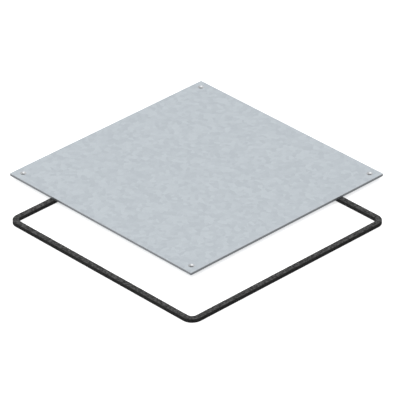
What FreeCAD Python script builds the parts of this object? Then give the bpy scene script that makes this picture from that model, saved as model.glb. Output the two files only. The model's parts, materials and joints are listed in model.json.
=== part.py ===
import FreeCAD, Part
import math
import os

import Sketcher
from FreeCAD import Vector

# Floor duct cover: a square plate of galvanised steel and the sponge rubber ring that seals it.
# The plate lies flat on the ring, drawn back towards one corner, so that the ring shows.
# X and Y run along the plate's sides, Z is up, and the ring stands on Z = 0.

doc = FreeCAD.newDocument("FloorDuctCover")

# Driving dimensions, in millimetres, and one angle in degrees.
driving_sizes = {
    "plate_side": (382.0, "side of the square plate, and outer side of the ring"),
    "plate_thickness": (4.0, "sheet thickness of the plate"),
    "plate_corner_radius": (1.5, "rounding of the plate's four corners in plan"),
    "plate_edge_break": (0.3, "deburring of the plate's upper and lower edges"),
    "screw_hole_diameter": (5.5, "clearance hole for an M5 screw"),
    "countersink_depth": (1.9, "depth of the recess for the screw's head"),
    "countersink_angle": (90.0, "full angle of that recess"),
    "screw_clearance": (0.3, "from the wall of a screw hole to the ring, when the plate is in place"),
    "seal_width": (9.5, "width of the ring's section"),
    "seal_height": (5.5, "height of the ring's section"),
    "seal_inner_radius": (8.0, "bend of the ring's inner side at its corners"),
    "seal_edge_radius": (0.3, "rounding of the section's long edges"),
    "draw_back_x": (88.0, "how far the plate is drawn back along X, 0 when it is in place"),
    "draw_back_y": (82.0, "how far the plate is drawn back along Y, 0 when it is in place"),
}
hole_count = 4

sheet = doc.addObject("Spreadsheet::Sheet", "Sizes")
for row, (alias, (value, note)) in enumerate(driving_sizes.items(), start=1):
    sheet.set(f"A{row}", note)
    sheet.set(f"B{row}", str(value))
    sheet.setAlias(f"B{row}", alias)
doc.recompute()


# Helpers for sketches and for picking faces and edges

def origin_feature(body, role):
    return next(item for item in body.Origin.OriginFeatures if item.Role == role)


def new_sketch(body, name):
    sketch = body.newObject("Sketcher::SketchObject", name)
    sketch.AttachmentSupport = [(origin_feature(body, "XY_Plane"), "")]
    sketch.MapMode = "FlatFace"
    return sketch


def name_dimension(sketch, index, name, expression):
    sketch.renameConstraint(index, name)
    sketch.setExpression(f"Constraints.{name}", expression)


# A square centred on the sketch's origin, with its side given by an expression.
def add_square(sketch, name, expression):
    half = sheet.plate_side / 2
    corners = [Vector(-half, -half), Vector(half, -half), Vector(half, half), Vector(-half, half)]
    lines = []
    for start, end in zip(corners, corners[1:] + corners[:1]):
        lines.append(sketch.addGeometry(Part.LineSegment(start, end)))
    for line, following in zip(lines, lines[1:] + lines[:1]):
        sketch.addConstraint(Sketcher.Constraint("Coincident", line, 2, following, 1))
    lower, right, upper, left = lines
    for level_line in (lower, upper):
        sketch.addConstraint(Sketcher.Constraint("Horizontal", level_line))
    for upright_line in (right, left):
        sketch.addConstraint(Sketcher.Constraint("Vertical", upright_line))
    sketch.addConstraint(Sketcher.Constraint("Equal", lower, right))
    sketch.addConstraint(Sketcher.Constraint("Symmetric", lower, 1, upper, 1, -1, 1))
    side = sketch.addConstraint(Sketcher.Constraint("DistanceX", lower, 1, lower, 2, 2 * half))
    name_dimension(sketch, side, name, expression)


def level_faces(feature):
    faces = enumerate(feature.Shape.Faces, start=1)
    return [f"Face{number}" for number, face in faces if face.BoundBox.ZLength < 1e-6]


# Upright edges whose distance from the Z axis, along X, satisfies a test.
def upright_edges(feature, test):
    names = []
    for number, edge in enumerate(feature.Shape.Edges, start=1):
        box = edge.BoundBox
        if box.XLength < 1e-6 and box.YLength < 1e-6 and test(abs(box.Center.x)):
            names.append(f"Edge{number}")
    return names


def add_pad(body, name, sketch, height):
    pad = body.newObject("PartDesign::Pad", name)
    pad.Profile = sketch
    pad.setExpression("Length", height)
    doc.recompute()
    return pad


def add_fillet(body, name, feature, elements, radius):
    fillet = body.newObject("PartDesign::Fillet", name)
    fillet.Base = (feature, elements)
    fillet.setExpression("Radius", radius)
    doc.recompute()
    return fillet


# The plate: sheet steel cut square, deburred, with a countersunk screw hole near each corner.
def make_cover_plate():
    body = doc.addObject("PartDesign::Body", "CoverPlate")
    body.Label = "cover_plate"
    outline = new_sketch(body, "PlateOutline")
    add_square(outline, "plate_side", "Sizes.plate_side")
    blank = add_pad(body, "PlateBlank", outline, "Sizes.plate_thickness")
    corners = upright_edges(blank, lambda x: x > 0)
    rounded = add_fillet(body, "PlateCorners", blank, corners, "Sizes.plate_corner_radius")

    deburred = body.newObject("PartDesign::Chamfer", "PlateEdges")
    deburred.Base = (rounded, level_faces(rounded))
    deburred.setExpression("Size", "Sizes.plate_edge_break")
    doc.recompute()

    # The holes pass just inside the ring: clear of its bend, or of its sides where the bend is tight.
    hole_place = new_sketch(body, "ScrewHolePlace")
    hole_place.setExpression("AttachmentOffset.Base.z", "Sizes.plate_thickness")
    hole_radius = sheet.screw_hole_diameter / 2
    start = sheet.plate_side / 2 - sheet.seal_width - sheet.seal_inner_radius
    circle = hole_place.addGeometry(Part.Circle(Vector(start, start), Vector(0, 0, 1), hole_radius))
    radius = hole_place.addConstraint(Sketcher.Constraint("Radius", circle, hole_radius))
    name_dimension(hole_place, radius, "hole_radius", "Sizes.screw_hole_diameter / 2")
    reach = "Sizes.screw_hole_diameter / 2 + Sizes.screw_clearance"
    past_bend = f"Sizes.seal_inner_radius - (Sizes.seal_inner_radius - ({reach})) / sqrt(2)"
    inset = f"Sizes.seal_width + max({reach}; {past_bend})"
    for kind, name in (("DistanceX", "hole_x"), ("DistanceY", "hole_y")):
        distance = hole_place.addConstraint(Sketcher.Constraint(kind, -1, 1, circle, 3, start))
        name_dimension(hole_place, distance, name, f"Sizes.plate_side / 2 - ({inset})")
    doc.recompute()

    hole = body.newObject("PartDesign::Hole", "ScrewHole")
    hole.Profile = hole_place
    doc.recompute()
    hole.DepthType = "ThroughAll"
    hole.DrillPoint = "Flat"
    hole.setExpression("Diameter", "Sizes.screw_hole_diameter")
    hole.HoleCutType = "Countersink"
    hole.HoleCutCustomValues = True
    hole.setExpression("HoleCutCountersinkAngle", "Sizes.countersink_angle")
    spread = "2 * Sizes.countersink_depth * tan(Sizes.countersink_angle / 2)"
    hole.setExpression("HoleCutDiameter", f"Sizes.screw_hole_diameter + {spread}")
    doc.recompute()

    holes = body.newObject("PartDesign::PolarPattern", "ScrewHoles")
    holes.Originals = [hole]
    holes.Axis = (origin_feature(body, "Z_Axis"), [""])
    holes.Angle = 360
    holes.Occurrences = hole_count
    body.Tip = holes
    doc.recompute()

    # Each hole takes out at least a cylinder of the sheet's thickness.
    cylinder = math.pi * hole_radius ** 2 * sheet.plate_thickness
    removed = deburred.Shape.Volume - holes.Shape.Volume
    if removed < hole_count * cylinder:
        raise RuntimeError(f"the screw holes took out only {removed:.1f} mm3")

    body.setExpression("Placement.Base.x", "-Sizes.draw_back_x / 2")
    body.setExpression("Placement.Base.y", "Sizes.draw_back_y / 2")
    body.setExpression("Placement.Base.z", "Sizes.seal_height")
    return body


# The ring: one closed strip of sponge rubber, as large outside as the plate that it seals.
def make_sealing_ring():
    body = doc.addObject("PartDesign::Body", "SealingRing")
    body.Label = "sealing_ring"
    outline = new_sketch(body, "RingOutline")
    add_square(outline, "outer_side", "Sizes.plate_side")
    add_square(outline, "inner_side", "Sizes.plate_side - 2 * Sizes.seal_width")
    strip = add_pad(body, "RingStrip", outline, "Sizes.seal_height")

    middle = (sheet.plate_side - sheet.seal_width) / 2
    inner_edges = upright_edges(strip, lambda x: x < middle)
    inner_bend = add_fillet(body, "InnerBend", strip, inner_edges, "Sizes.seal_inner_radius")
    outer_edges = upright_edges(inner_bend, lambda x: x > middle)
    outer_radius = "Sizes.seal_inner_radius + Sizes.seal_width"
    outer_bend = add_fillet(body, "OuterBend", inner_bend, outer_edges, outer_radius)
    add_fillet(body, "RingEdges", outer_bend, level_faces(outer_bend), "Sizes.seal_edge_radius")

    body.setExpression("Placement.Base.x", "Sizes.draw_back_x / 2")
    body.setExpression("Placement.Base.y", "-Sizes.draw_back_y / 2")
    return body


bodies = [make_cover_plate(), make_sealing_ring()]
doc.recompute()

# Nothing is written unless every feature was made and every body is one valid solid.
for item in doc.Objects:
    if "Invalid" in item.State or "Error" in item.State:
        raise RuntimeError(f"{item.Label} failed: {item.State}")
for body in bodies:
    if body.Shape.isNull() or not body.Shape.isValid() or len(body.Shape.Solids) != 1:
        raise RuntimeError(f"{body.Label} is not one valid solid")

os.makedirs("parts", exist_ok=True)
for body in bodies:
    body.Shape.exportStep(f"parts/{body.Label}.step")
    box = body.Shape.optimalBoundingBox(False, False)
    extents = f"{box.XLength:.2f} x {box.YLength:.2f} x {box.ZLength:.2f} mm"
    print(f"{body.Label}: {extents}, {body.Shape.Volume:.0f} mm3")
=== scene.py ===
# Floor duct cover: a galvanised steel plate drawn back on its sponge rubber sealing ring
import json
import math

import bmesh
import bpy
from mathutils import Matrix, Vector, noise


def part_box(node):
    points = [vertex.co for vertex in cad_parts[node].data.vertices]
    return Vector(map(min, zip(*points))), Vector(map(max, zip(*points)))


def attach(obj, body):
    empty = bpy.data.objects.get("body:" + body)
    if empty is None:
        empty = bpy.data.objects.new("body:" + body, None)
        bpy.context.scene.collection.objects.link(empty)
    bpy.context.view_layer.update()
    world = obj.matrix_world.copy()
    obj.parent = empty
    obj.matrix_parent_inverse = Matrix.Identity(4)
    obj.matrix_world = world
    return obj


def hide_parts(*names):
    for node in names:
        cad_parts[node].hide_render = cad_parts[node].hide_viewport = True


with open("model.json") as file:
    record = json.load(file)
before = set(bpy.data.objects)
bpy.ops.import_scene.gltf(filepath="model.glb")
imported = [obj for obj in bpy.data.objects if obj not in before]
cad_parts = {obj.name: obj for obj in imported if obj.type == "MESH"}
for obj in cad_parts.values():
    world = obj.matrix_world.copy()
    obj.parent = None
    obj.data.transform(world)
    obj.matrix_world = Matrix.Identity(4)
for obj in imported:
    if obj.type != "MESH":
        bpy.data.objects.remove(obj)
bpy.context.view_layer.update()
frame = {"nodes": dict(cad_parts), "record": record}  # metres, the ring stands on z = 0
mm = 0.001
plate = frame["nodes"]["cover_plate"]
plateLow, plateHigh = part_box("cover_plate")
plateMiddle = (plateLow + plateHigh) / 2
ringLow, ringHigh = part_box("sealing_ring")
ringMiddle = (ringLow + ringHigh) / 2
mounts = {mount["name"]: mount for mount in frame["record"]["mounts"]}
print("frame loaded:", sorted(frame["nodes"]))


# Small helpers

white = (1, 1, 1, 1)
midNoise = (0.5, 0.5, 0.5)  # mean colour of a noise texture
noiseSpan = (0.35, 0.65)  # most values of a noise texture lie between these
softDetail = 2.0  # finer layers in a soft noise texture
raggedDetail = 3.0  # and in a ragged one


def linear(hexColour):  # sRGB hex to the linear colour that shaders take
    channels = [int(hexColour[i:i + 2], 16) / 255 for i in (1, 3, 5)]
    return [c / 12.92 if c <= 0.04045 else ((c + 0.055) / 1.055) ** 2.4 for c in channels] + [1.0]


def perMetre(millimetres):  # texture scale of a pattern with features of this size
    return 1 / (millimetres * mm)


# Adds a node. Inputs go by name or place, and are values, sockets, or nodes, which give their first output.
def addNode(tree, kind, inputs=None, **settings):
    node = tree.nodes.new("ShaderNode" + kind)
    for name, value in settings.items():
        setattr(node, name, value)
    for key, value in (inputs or {}).items():
        named = [socket for socket in node.inputs if socket.enabled and socket.name == key]
        target = named[0] if named else node.inputs[key]
        if isinstance(value, bpy.types.Node):
            value = next(socket for socket in value.outputs if socket.enabled)
        if isinstance(value, bpy.types.NodeSocket):
            tree.links.new(value, target)
        else:
            target.default_value = value
    return node


def newMaterial(name):
    material = bpy.data.materials.new(name)
    material.use_nodes = True
    material.node_tree.nodes.clear()
    return material, material.node_tree


# Camera: a long lens at the photograph's angle

camera = {
    "azimuth": 47.009,  # degrees, 0 looks along +Y
    "elevation": 31.279,  # degrees above the table
    "roll": -0.981,  # degrees
    "distance": 6.402,  # metres
    "lens": 402.87,  # mm
    "sensor": 36.0,  # mm
    "sight": 50.0,  # metres, beyond which nothing is drawn
    "aim": (0.0575, -0.0471, 0.0),  # metres, from the middle of the plate's top face
}


def makeCamera(values):
    azimuth, elevation, roll = (math.radians(values[key]) for key in ("azimuth", "elevation", "roll"))
    right = Vector((math.cos(azimuth), math.sin(azimuth), 0))
    away = Vector((-math.sin(azimuth), math.cos(azimuth), 0))
    back = Vector((0, 0, math.sin(elevation))) - away * math.cos(elevation)
    up = back.cross(right)
    tiltedRight = right * math.cos(roll) + up * math.sin(roll)
    tiltedUp = up * math.cos(roll) - right * math.sin(roll)
    data = bpy.data.cameras.new("productCamera")
    data.sensor_width = values["sensor"]
    data.lens = values["lens"]
    data.clip_end = values["sight"]
    holder = bpy.data.objects.new("productCamera", data)
    bpy.context.scene.collection.objects.link(holder)
    aim = Vector((plateMiddle.x, plateMiddle.y, plateHigh.z)) + Vector(values["aim"])
    turn = Matrix((tiltedRight, tiltedUp, back)).transposed().to_4x4()
    holder.matrix_world = Matrix.Translation(aim + back * values["distance"]) @ turn
    bpy.context.scene.camera = holder
    return right, away


viewRight, viewAway = makeCamera(camera)
print("camera set")


# Studio: a lit white table, a soft dome that is brightest behind and to the left, and a softbox in front

studio = {
    "floorSide": 12.0,  # metres
    "floorDrop": 0.2,  # mm under the ring
    "floorColour": "#F4F4F4",
    "floorRoughness": 0.9,
    "floorGlow": 0.58,  # keeps contact shadows faint
    "shadeBack": 9.0,  # mm, how far behind the plate's middle the table's dark place lies
    "shadeInset": 3.5,  # mm, how much less than the plate it is on each side
    "shadeSoft": 3.0,  # mm, half the width of its edge
    "domeFrom": (-0.28, 0.55, 1.0),  # right, away and up, seen from the camera
    "domeBright": 0.935,  # radiance on that side
    "domeDim": 0.33,  # and on the other
    "domeFade": -0.6,  # cosine of the angle at which the dim side starts
    "boxFrom": (-0.22, -0.48, 0.85),  # right, away and up, so that it glints in the screw recesses
    "boxAway": 3.5,  # metres
    "boxSide": 3.2,  # metres
    "boxPower": 24.0,  # watts
}


def fromView(right, away, up):
    return (viewRight * right + viewAway * away + Vector((0, 0, up))).normalized()


# The glow stops under the plate, leaving a painted shadow on the table, so that the screw holes look down
# into the dark.
def tableGlow(tree, values):
    place = addNode(tree, "NewGeometry").outputs["Position"]
    shadeMiddle = plateMiddle + viewAway * values["shadeBack"] * mm
    fromShade = addNode(tree, "VectorMath", {0: place, 1: shadeMiddle}, operation="SUBTRACT")
    folded = addNode(tree, "VectorMath", {0: fromShade}, operation="ABSOLUTE")
    sides = addNode(tree, "SeparateXYZ", {0: folded})
    reach = addNode(tree, "Math", {0: sides.outputs["X"], 1: sides.outputs["Y"]}, operation="MAXIMUM")
    half = (plateHigh.x - plateLow.x) / 2 - values["shadeInset"] * mm
    soft = values["shadeSoft"] * mm
    return addNode(tree, "MapRange", {
        "Value": reach,
        "From Min": half - soft,
        "From Max": half + soft,
        "To Max": values["floorGlow"],
    }, interpolation_type="SMOOTHSTEP")


def makeFloor(values):
    drop = values["floorDrop"] * mm
    bpy.ops.mesh.primitive_plane_add(size=values["floorSide"], location=(0, 0, -drop))
    floor = bpy.context.object
    floor.name = "studioFloor"
    floor.visible_diffuse = False  # no bounce, so upright faces keep their shade
    floor.visible_glossy = False
    material, tree = newMaterial("matt white table")
    shader = addNode(tree, "BsdfPrincipled", {
        "Base Color": linear(values["floorColour"]),
        "Roughness": values["floorRoughness"],
        "Specular IOR Level": 0.0,
        "Emission Color": white,
        "Emission Strength": tableGlow(tree, values),
    })
    addNode(tree, "OutputMaterial", {"Surface": shader})
    floor.data.materials.append(material)


def makeDome(values):
    world = bpy.data.worlds.new("softDome")
    bpy.context.scene.world = world
    world.use_nodes = True
    tree = world.node_tree
    tree.nodes.clear()
    direction = addNode(tree, "TexCoord").outputs["Generated"]
    lightFrom = fromView(*values["domeFrom"])
    facing = addNode(tree, "VectorMath", {0: direction, 1: lightFrom}, operation="DOT_PRODUCT")
    level = addNode(tree, "MapRange", {
        "Value": facing,
        "From Min": values["domeFade"],
        "To Min": values["domeDim"],
        "To Max": values["domeBright"],
    }, interpolation_type="SMOOTHSTEP")
    dome = addNode(tree, "Background", {"Color": white, "Strength": level})
    backdrop = addNode(tree, "Background", {"Color": white})
    seen = addNode(tree, "LightPath").outputs["Is Camera Ray"]
    both = addNode(tree, "MixShader", {0: seen, 1: dome, 2: backdrop})
    addNode(tree, "OutputWorld", {"Surface": both})


def makeSoftbox(values):
    light = bpy.data.lights.new("frontSoftbox", "AREA")
    light.size = values["boxSide"]
    light.energy = values["boxPower"]
    holder = bpy.data.objects.new("frontSoftbox", light)
    bpy.context.scene.collection.objects.link(holder)
    outward = fromView(*values["boxFrom"])
    holder.location = plateMiddle + outward * values["boxAway"]
    holder.rotation_euler = outward.to_track_quat("Z", "Y").to_euler()


makeFloor(studio)
makeDome(studio)
makeSoftbox(studio)
bpy.context.scene.view_settings.view_transform = "Standard"
print("studio set")


# Plate: strip galvanised sheet steel, hot dipped and rolled. The eye sees a matt pale zinc skin with faint
# crystals, darker sides where the shear cut through to steel, deepened with painted shade, and bright
# turned recesses for the screws.

plateValues = {
    "dullCrystal": "#C6CDD3",
    "paleCrystal": "#D6DDE2",
    # bare steel of the cut sides, both tones darkened with painted shade
    "tornSteelAndShade": "#B7BBC0",
    "burnishedSteelAndShade": "#CBCFD4",
    "turnedSteel": "#D5D7D9",
    "crystal": 7.0,  # mm across one zinc crystal
    "feather": 3.0,  # mm, ragged rims of the crystals
    "lean": 0.02,  # how far a crystal leans, as a slope
    "strand": 0.7,  # mm across the strands in a crystal, coarser than the real 0.3 so that they show
    "strandStretch": 9.0,  # how many times longer a strand is than wide
    "strandShare": 0.35,  # of a crystal's tone
    "grain": 0.6,  # mm, rolled grain, coarser than the real 0.1 so that it shows
    "grainDepth": 0.015,  # mm
    "stria": 0.6,  # mm between shear marks on the sides, coarser than the real 0.2 so that they show
    "striaStretch": 6.0,  # how many times longer a shear mark is than wide
    "striaDepth": 0.05,  # mm
    "turning": 0.35,  # mm between the recess tool's marks, coarser than the real 0.1 so that they show
    "turningDepth": 0.008,  # mm
    "zincRoughness": (0.5, 0.58),
    "steelRoughness": 0.45,
    "turnedRoughness": 0.34,
    "recessReach": 4.8,  # mm from the middle of a screw hole
    "flatFrom": 0.95,  # upright share of the normal above which a face is not cut
}


# Crystals with ragged rims, each with its own tone and lean, and strands that run its own way.
def zincSkin(tree, place, values):
    rag = addNode(tree, "TexNoise", {
        "Vector": place,
        "Scale": perMetre(values["feather"]),
        "Detail": raggedDetail,
    })
    offset = addNode(tree, "VectorMath", {0: rag.outputs["Color"], 1: midNoise}, operation="SUBTRACT")
    push = addNode(tree, "VectorMath", {0: offset, "Scale": values["feather"] * mm}, operation="SCALE")
    ragged = addNode(tree, "VectorMath", {0: place, 1: push})
    crystals = addNode(tree, "TexVoronoi", {"Vector": ragged, "Scale": perMetre(values["crystal"])})
    chance = addNode(tree, "SeparateColor", {"Color": crystals.outputs["Color"]})
    angle = addNode(tree, "Math", {0: chance.outputs["Green"], 1: math.pi}, operation="MULTIPLY")
    swung = addNode(tree, "VectorRotate", {"Vector": place, "Angle": angle}, rotation_type="Z_AXIS")
    squeeze = (1, 1 / values["strandStretch"], 1)
    drawn = addNode(tree, "VectorMath", {0: swung, 1: squeeze}, operation="MULTIPLY")
    fibres = addNode(tree, "TexNoise", {
        "Vector": drawn,
        "Scale": perMetre(values["strand"]),
        "Detail": softDetail,
    })
    low, high = noiseSpan
    strands = addNode(tree, "MapRange", {"Value": fibres, "From Min": low, "From Max": high})
    tone = addNode(tree, "Mix", {
        "Factor": values["strandShare"],
        "A": chance.outputs["Red"],
        "B": strands,
    })
    dull, pale = linear(values["dullCrystal"]), linear(values["paleCrystal"])
    colour = addNode(tree, "Mix", {"Factor": tone, "A": dull, "B": pale}, data_type="RGBA")
    smoothest, roughest = values["zincRoughness"]
    roughness = addNode(tree, "MapRange", {"Value": strands, "To Min": smoothest, "To Max": roughest})
    tilt = addNode(tree, "VectorMath", {0: crystals.outputs["Color"], 1: midNoise}, operation="SUBTRACT")
    lean = addNode(tree, "VectorMath", {0: tilt, "Scale": values["lean"]}, operation="SCALE")
    return colour, roughness, lean


# Where the sheet is cut: its sides and deburred edges, and near the middle of a hole the turned recess.
def cutPlaces(tree, place, values):
    normal = addNode(tree, "NewGeometry").outputs["True Normal"]
    upward = addNode(tree, "SeparateXYZ", {0: normal}).outputs["Z"]
    flatness = addNode(tree, "Math", {0: upward}, operation="ABSOLUTE")
    cut = addNode(tree, "Math", {0: flatness, 1: values["flatFrom"]}, operation="LESS_THAN")
    spacing = mounts["fixing_holes"]["dims"]
    holePlace = (spacing["spacing_x_mm"] / 2 * mm, spacing["spacing_y_mm"] / 2 * mm, 0)
    fromMiddle = addNode(tree, "VectorMath", {0: place, 1: plateMiddle}, operation="SUBTRACT")
    folded = addNode(tree, "VectorMath", {0: fromMiddle}, operation="ABSOLUTE")
    fromHole = addNode(tree, "VectorMath", {0: folded, 1: holePlace}, operation="SUBTRACT")
    level = addNode(tree, "VectorMath", {0: fromHole, 1: (1, 1, 0)}, operation="MULTIPLY")
    radius = addNode(tree, "VectorMath", {0: level}, operation="LENGTH")
    near = addNode(tree, "Math", {0: radius, 1: values["recessReach"] * mm}, operation="LESS_THAN")
    turned = addNode(tree, "Math", {0: near, 1: cut}, operation="MULTIPLY")
    return cut, turned, radius


# Grain of the rolls on the faces, marks of the shear up the sides, and of the recess tool round the holes.
def toolMarks(tree, place, radius, values):
    grain = addNode(tree, "TexNoise", {
        "Vector": place,
        "Scale": perMetre(values["grain"]),
        "Detail": softDetail,
    })
    squeeze = (1, 1, 1 / values["striaStretch"])
    drawn = addNode(tree, "VectorMath", {0: place, 1: squeeze}, operation="MULTIPLY")
    stria = addNode(tree, "TexNoise", {
        "Vector": drawn,
        "Scale": perMetre(values["stria"]),
        "Detail": raggedDetail,
    })
    pitch = math.tau * perMetre(values["turning"])
    turns = addNode(tree, "Math", {0: radius, 1: pitch}, operation="MULTIPLY")
    groove = addNode(tree, "Math", {0: turns}, operation="SINE")
    return grain, stria, groove


def galvanisedSheet(values):
    material, tree = newMaterial("galvanised sheet steel, strip dipped")
    place = addNode(tree, "TexCoord").outputs["Object"]
    zinc, zincRough, lean = zincSkin(tree, place, values)
    cut, turned, radius = cutPlaces(tree, place, values)
    grain, stria, groove = toolMarks(tree, place, radius, values)

    # Zinc on the faces, torn and burnished steel on the sides, toned down as painted shade, bright steel in
    # the recesses
    low, high = noiseSpan
    burnish = addNode(tree, "MapRange", {"Value": stria, "From Min": low, "From Max": high})
    torn, burnished = linear(values["tornSteelAndShade"]), linear(values["burnishedSteelAndShade"])
    steel = addNode(tree, "Mix", {"Factor": burnish, "A": torn, "B": burnished}, data_type="RGBA")
    sheet = addNode(tree, "Mix", {"Factor": cut, "A": zinc, "B": steel}, data_type="RGBA")
    bright = linear(values["turnedSteel"])
    colour = addNode(tree, "Mix", {"Factor": turned, "A": sheet, "B": bright}, data_type="RGBA")
    sheetRough = addNode(tree, "Mix", {"Factor": cut, "A": zincRough, "B": values["steelRoughness"]})
    rough = addNode(tree, "Mix", {"Factor": turned, "A": sheetRough, "B": values["turnedRoughness"]})

    # Relief of the same three places, and each crystal's lean added to the normal
    depths = {"grainDepth": grain, "striaDepth": stria, "turningDepth": groove}
    rolled, sheared, grooved = (
        addNode(tree, "Math", {0: pattern, 1: values[key]}, operation="MULTIPLY")
        for key, pattern in depths.items()
    )
    sheetRelief = addNode(tree, "Mix", {"Factor": cut, "A": rolled, "B": sheared})
    relief = addNode(tree, "Mix", {"Factor": turned, "A": sheetRelief, "B": grooved})
    bump = addNode(tree, "Bump", {"Height": relief, "Strength": 1.0, "Distance": mm})
    leaning = addNode(tree, "VectorMath", {0: bump, 1: lean})
    facing = addNode(tree, "VectorMath", {0: leaning}, operation="NORMALIZE")
    shader = addNode(tree, "BsdfPrincipled", {
        "Base Color": colour,
        "Metallic": 1.0,
        "Roughness": rough,
        "Normal": facing,
    })
    addNode(tree, "OutputMaterial", {"Surface": shader})
    return material


plate.material_slots[0].material = galvanisedSheet(plateValues)
print("plate finished")


# Ring: closed-cell sponge rubber, die cut from sheet. The eye sees a matt charcoal skin, pitted and uneven
# in tone, with sides near black from open cells and painted shade, and painted shade on the rims and in the
# pits.

ringValues = {
    "width": 9.5,  # mm, of the section
    "innerBend": 8.0,  # mm, radius of the corners inside
    "edge": 0.3,  # mm, rounding of the long edges
    "edgeSteps": 3,  # faces round such an edge
    "waist": 0.15,  # mm, how far the cut sides draw in at half height
    "rim": 0.9,  # mm, strip along each side of the top, darkened with painted shade
    "spacing": 0.78,  # mm between points
    "pit": 3.0,  # mm between pits, coarser than the real 0.8 so that they show
    "pitReach": (0.35, 0.8),  # radius of the smallest and largest pits, as a share of that
    "pitDepth": 0.22,  # mm
    "swell": 14.0,  # mm, slow unevenness of the sheet
    "swellDepth": 0.12,  # mm
    "skin": "#2E2E2E",
    "paleSkin": "#606060",
    # painted shade in the pits
    "paintedPitShade": "#0E0E0E",
    # open cells of the cut sides and rims, darkened further as painted shade
    "cutCellsAndShade": "#2E2E2E",
    "mottle": 3.0,  # mm, uneven bloom on the skin
    "pore": 0.7,  # mm between pores, coarser than the real 0.3 so that they show
    "poreDepth": 0.1,  # mm
    "poreStrength": 0.6,  # how much of that relief shows
    "roughness": (0.8, 0.95),
    "gloss": 0.25,  # sponge reflects less than solid rubber
}
quarterTurn = math.pi / 2


# Points of the section, in mm inward from the outer side and up: outer side, top, inner side.
def ringSection(values, height):
    edge = values["edge"]
    far = values["width"] - edge
    corners = [(edge, edge), (edge, height - edge), (far, height - edge), (far, edge)]
    corners = [Vector(corner) for corner in corners]
    waists = [values["waist"], 0, values["waist"]]
    points = []
    for number, corner in enumerate(corners):
        for step in range(values["edgeSteps"] + 1):
            angle = quarterTurn * (3 - number - step / values["edgeSteps"])
            outward = Vector((math.cos(angle), math.sin(angle)))
            points.append(corner + outward * edge)
        if number < len(waists):
            start = points[-1]
            run = corners[number + 1] - corner
            count = round(run.length / values["spacing"])
            for share in (part / count for part in range(1, count)):
                drawIn = waists[number] * math.sin(math.pi * share)
                points.append(start + run * share - outward * drawIn)
    return points


# Stations round the ring, in mm: a point on the square through its bends' centres, and the way out.
def ringStations(half, bend, spacing):
    straightSteps = round(2 * half / spacing)
    bendSteps = round(bend * quarterTurn / spacing)
    stations = []
    for side in range(4):
        angle = quarterTurn * side
        out = Vector((math.cos(angle), math.sin(angle)))
        along = Vector((-math.sin(angle), math.cos(angle)))
        for step in range(straightSteps):
            stations.append((out * half + along * half * (2 * step / straightSteps - 1), out))
        for step in range(bendSteps):
            swing = quarterTurn * step / bendSteps
            stations.append(((out + along) * half, out * math.cos(swing) + along * math.sin(swing)))
    return stations


# Carries the section round the ring, and notes for each point how near it is to a cut side, for the painted
# shade of sides and rims.
def sweepSection(shape, values):
    height = (ringHigh.z - ringLow.z) / mm
    side = (ringHigh.x - ringLow.x) / mm
    bend = values["innerBend"] + values["width"]
    section = ringSection(values, height)
    cut = shape.verts.layers.float.new("cut")
    rows = []
    for middle, out in ringStations(side / 2 - bend, bend, values["spacing"]):
        row = []
        for inward, up in section:
            flat = middle + out * (bend - inward)
            vert = shape.verts.new((flat.x, flat.y, up))
            fromSide = min(inward, values["width"] - inward) - values["edge"]
            vert[cut] = 1 - min(max(fromSide / values["rim"], 0), 1)
            row.append(vert)
        rows.append(row)
    for row, following in zip(rows, rows[1:] + rows[:1]):
        for this in range(len(row)):
            after = (this + 1) % len(row)
            face = shape.faces.new((row[this], following[this], following[after], row[after]))
            face.smooth = True
    shape.normal_update()


# Pits and swells only go inward, so the ring stays in its own space, and its underside stays flat.
def pressPits(shape, values):
    pit = shape.verts.layers.float.new("pit")
    smallest, largest = values["pitReach"]
    for vert in shape.verts:
        if vert.co.z > values["edge"]:
            distances, seats = noise.voronoi(vert.co / values["pit"])
            size = 0.5 + 0.5 * noise.cell(seats[0] * values["pit"])  # from -1 to 1 into 0 to 1
            reach = smallest + (largest - smallest) * size
            # the pit's depth also sets how much painted shade it gets
            vert[pit] = max(0, 1 - distances[0] / reach)
            swell = 0.5 + 0.5 * noise.noise(vert.co / values["swell"])  # likewise
            vert.co -= vert.normal * (vert[pit] * values["pitDepth"] + swell * values["swellDepth"])


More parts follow.
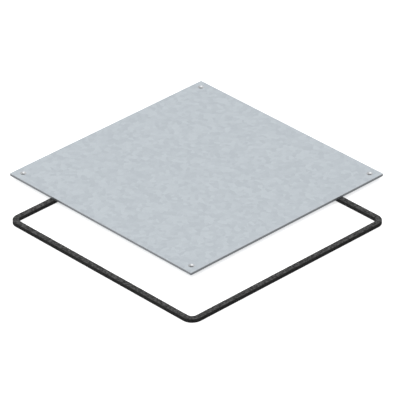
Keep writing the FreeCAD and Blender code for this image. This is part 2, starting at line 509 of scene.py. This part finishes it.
def makeRing(values):
    shape = bmesh.new()
    sweepSection(shape, values)
    pressPits(shape, values)
    shape.transform(Matrix.Translation((ringMiddle.x, ringMiddle.y, ringLow.z)) @ Matrix.Scale(mm, 4))
    mesh = bpy.data.meshes.new("spongeRing")
    shape.to_mesh(mesh)
    shape.free()
    piece = bpy.data.objects.new("spongeRing", mesh)
    bpy.context.scene.collection.objects.link(piece)
    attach(piece, "root")
    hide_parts("sealing_ring")
    return piece


def spongeRubber(values):
    material, tree = newMaterial("sponge rubber, die cut from sheet")
    place = addNode(tree, "TexCoord").outputs["Object"]
    cut = addNode(tree, "Attribute", attribute_name="cut").outputs["Fac"]
    pit = addNode(tree, "Attribute", attribute_name="pit").outputs["Fac"]

    # Skin with an uneven bloom, the sides and rims darker from open cells and painted shade, and painted
    # shade darkest in its pits
    mottle = addNode(tree, "TexNoise", {
        "Vector": place,
        "Scale": perMetre(values["mottle"]),
        "Detail": softDetail,
    })
    low, high = noiseSpan
    bloom = addNode(tree, "MapRange", {"Value": mottle, "From Min": low, "From Max": high})
    dark, pale = linear(values["skin"]), linear(values["paleSkin"])
    skin = addNode(tree, "Mix", {"Factor": bloom, "A": dark, "B": pale}, data_type="RGBA")
    cells, paintedPitShade = linear(values["cutCellsAndShade"]), linear(values["paintedPitShade"])
    whole = addNode(tree, "Mix", {"Factor": cut, "A": skin, "B": cells}, data_type="RGBA")
    colour = addNode(tree, "Mix", {"Factor": pit, "A": whole, "B": paintedPitShade}, data_type="RGBA")
    smoothest, roughest = values["roughness"]
    rough = addNode(tree, "MapRange", {"Value": pit, "To Min": smoothest, "To Max": roughest})

    # Fine pores
    pores = addNode(tree, "TexVoronoi", {"Vector": place, "Scale": perMetre(values["pore"])})
    bump = addNode(tree, "Bump", {
        "Height": pores,
        "Strength": values["poreStrength"],
        "Distance": values["poreDepth"] * mm,
    })
    shader = addNode(tree, "BsdfPrincipled", {
        "Base Color": colour,
        "Roughness": rough,
        "Specular IOR Level": values["gloss"],
        "Normal": bump,
    })
    addNode(tree, "OutputMaterial", {"Surface": shader})
    return material


ring = makeRing(ringValues)
ring.data.materials.append(spongeRubber(ringValues))
print("ring finished:", len(ring.data.polygons), "faces")
